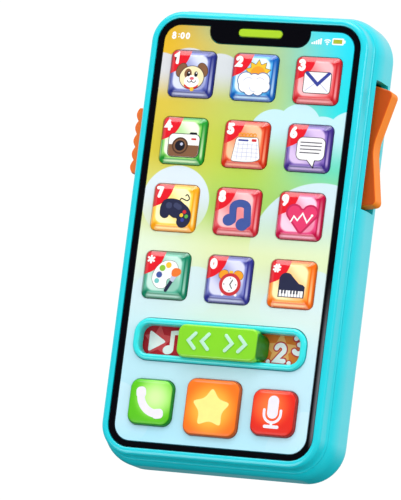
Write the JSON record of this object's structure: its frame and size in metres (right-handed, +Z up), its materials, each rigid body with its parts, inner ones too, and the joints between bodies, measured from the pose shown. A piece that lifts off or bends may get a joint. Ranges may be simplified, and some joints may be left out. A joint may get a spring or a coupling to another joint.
{
  "type": "toy cell phone",
  "caption": "Moulded toy smartphone with picture keys, round-edged lower buttons, a sliding switch, a side rocker and a ribbed side slide.",
  "frame": {"origin": "centre of the flat bottom end, at mid thickness of the case", "axes": "+Z up along the phone's length, +X to the right when facing the screen, the screen faces -Y and the battery door faces +Y"},
  "size_m": [0.088, 0.03, 0.1552],
  "materials": {
    "housing_teal": "glossy moulded plastic",
    "bezel_black": "high gloss black",
    "screen_print": "printed sheet under a gloss coat",
    "light_lime": "tinted light guide",
    "key_indigo": "clear-coated printed key",
    "key_blue": "clear-coated printed key",
    "key_red": "clear-coated printed key",
    "key_green": "clear-coated printed key",
    "key_purple": "clear-coated printed key",
    "key_yellow": "clear-coated printed key",
    "key_magenta": "clear-coated printed key",
    "key_orange": "clear-coated printed key",
    "button_green": "translucent gloss",
    "button_orange": "translucent gloss",
    "button_red": "translucent gloss",
    "label_print": "printed sheet",
    "knob_green": "glossy moulded plastic",
    "white_plastic": "plain moulding",
    "side_orange": "satin moulded plastic",
    "silicone": "matt silicone",
    "board_green": "solder mask",
    "led_lens": "diffused lens",
    "screw_steel": "zinc plated",
    "cell_sleeve": "printed sleeve",
    "contact_plate": "nickel plated",
    "speaker_metal": "stamped frame",
    "switch_black": "satin",
    "switch_metal": "stamped can",
    "wire_red": "insulation",
    "wire_black": "insulation"
  },
  "bodies": {
    "root": {"front_housing": "housing_teal", "rear_housing": "housing_teal", "slider_surround": "housing_teal", "screen_bezel": "bezel_black", "screen_panel": "screen_print", "earpiece_light": "light_lime", "slider_label": "label_print", "rocker_pin": "screw_steel", "keypad_mat": "silicone", "button_mat": "silicone", "circuit_board": "board_green", "call_led": "led_lens", "star_led": "led_lens", "mic_led": "led_lens", "earpiece_led": "led_lens", "battery_cell_left": "cell_sleeve", "battery_cell_right": "cell_sleeve", "battery_spring_contact": "contact_plate", "battery_plate_contact": "contact_plate", "battery_bridge_contact": "contact_plate", "speaker": "speaker_metal", "power_switch_body": "switch_metal", "speaker_wire_red": "wire_red", "speaker_wire_black": "wire_black", "battery_wire_red": "wire_red", "battery_wire_black": "wire_black", "case_screw_1": "screw_steel", "case_screw_2": "screw_steel", "case_screw_3": "screw_steel", "case_screw_4": "screw_steel", "case_screw_5": "screw_steel", "case_screw_6": "screw_steel"},
    "key_1": {"app_key_1": "key_indigo"},
    "key_2": {"app_key_2": "key_blue"},
    "key_3": {"app_key_3": "key_red"},
    "key_4": {"app_key_4": "key_green"},
    "key_5": {"app_key_5": "key_red"},
    "key_6": {"app_key_6": "key_purple"},
    "key_7": {"app_key_7": "key_yellow"},
    "key_8": {"app_key_8": "key_red"},
    "key_9": {"app_key_9": "key_magenta"},
    "key_star": {"app_key_star": "key_green"},
    "key_0": {"app_key_0": "key_indigo"},
    "key_hash": {"app_key_hash": "key_orange"},
    "call_push": {"call_button": "button_green"},
    "star_push": {"star_button": "button_orange"},
    "mic_push": {"mic_button": "button_red"},
    "slider": {"slider_knob": "knob_green", "slider_carriage": "white_plastic"},
    "rocker": {"side_rocker": "side_orange"},
    "side_slide": {"side_ribbed_slide": "side_orange"},
    "power_slide": {"power_switch": "switch_black"},
    "door": {"battery_door": "housing_teal", "battery_door_screw": "screw_steel"}
  },
  "joints": [
    {"name": "key_1_press", "type": "slide", "parent": "root", "child": "key_1", "axis": [0, 1, 0], "range_m": [0, 0.001]},
    {"name": "key_2_press", "type": "slide", "parent": "root", "child": "key_2", "axis": [0, 1, 0], "range_m": [0, 0.001]},
    {"name": "key_3_press", "type": "slide", "parent": "root", "child": "key_3", "axis": [0, 1, 0], "range_m": [0, 0.001]},
    {"name": "key_4_press", "type": "slide", "parent": "root", "child": "key_4", "axis": [0, 1, 0], "range_m": [0, 0.001]},
    {"name": "key_5_press", "type": "slide", "parent": "root", "child": "key_5", "axis": [0, 1, 0], "range_m": [0, 0.001]},
    {"name": "key_6_press", "type": "slide", "parent": "root", "child": "key_6", "axis": [0, 1, 0], "range_m": [0, 0.001]},
    {"name": "key_7_press", "type": "slide", "parent": "root", "child": "key_7", "axis": [0, 1, 0], "range_m": [0, 0.001]},
    {"name": "key_8_press", "type": "slide", "parent": "root", "child": "key_8", "axis": [0, 1, 0], "range_m": [0, 0.001]},
    {"name": "key_9_press", "type": "slide", "parent": "root", "child": "key_9", "axis": [0, 1, 0], "range_m": [0, 0.001]},
    {"name": "key_star_press", "type": "slide", "parent": "root", "child": "key_star", "axis": [0, 1, 0], "range_m": [0, 0.001]},
    {"name": "key_0_press", "type": "slide", "parent": "root", "child": "key_0", "axis": [0, 1, 0], "range_m": [0, 0.001]},
    {"name": "key_hash_press", "type": "slide", "parent": "root", "child": "key_hash", "axis": [0, 1, 0], "range_m": [0, 0.001]},
    {"name": "call_press", "type": "slide", "parent": "root", "child": "call_push", "axis": [0, 1, 0], "range_m": [0, 0.0012]},
    {"name": "star_press", "type": "slide", "parent": "root", "child": "star_push", "axis": [0, 1, 0], "range_m": [0, 0.0012]},
    {"name": "mic_press", "type": "slide", "parent": "root", "child": "mic_push", "axis": [0, 1, 0], "range_m": [0, 0.0012]},
    {"name": "slider_travel", "type": "slide", "parent": "root", "child": "slider", "axis": [1, 0, 0], "range_m": [-0.0115, 0.0115]},
    {"name": "rocker_swing", "type": "hinge", "parent": "root", "child": "rocker", "pos_m": [0.036, 0.00135, 0.11275], "axis": [0, 1, 0], "range_deg": [-9, 4.6]},
    {"name": "side_slide_travel", "type": "slide", "parent": "root", "child": "side_slide", "axis": [0, 0, 1], "range_m": [-0.0025, 0.0025]},
    {"name": "power_switch_travel", "type": "slide", "parent": "root", "child": "power_slide", "axis": [1, 0, 0], "range_m": [-0.0025, 0.0025]},
    {"name": "battery_door_removal", "type": "slide", "parent": "root", "child": "door", "axis": [0, 1, 0], "range_m": [0, 0.03]}
  ]
}
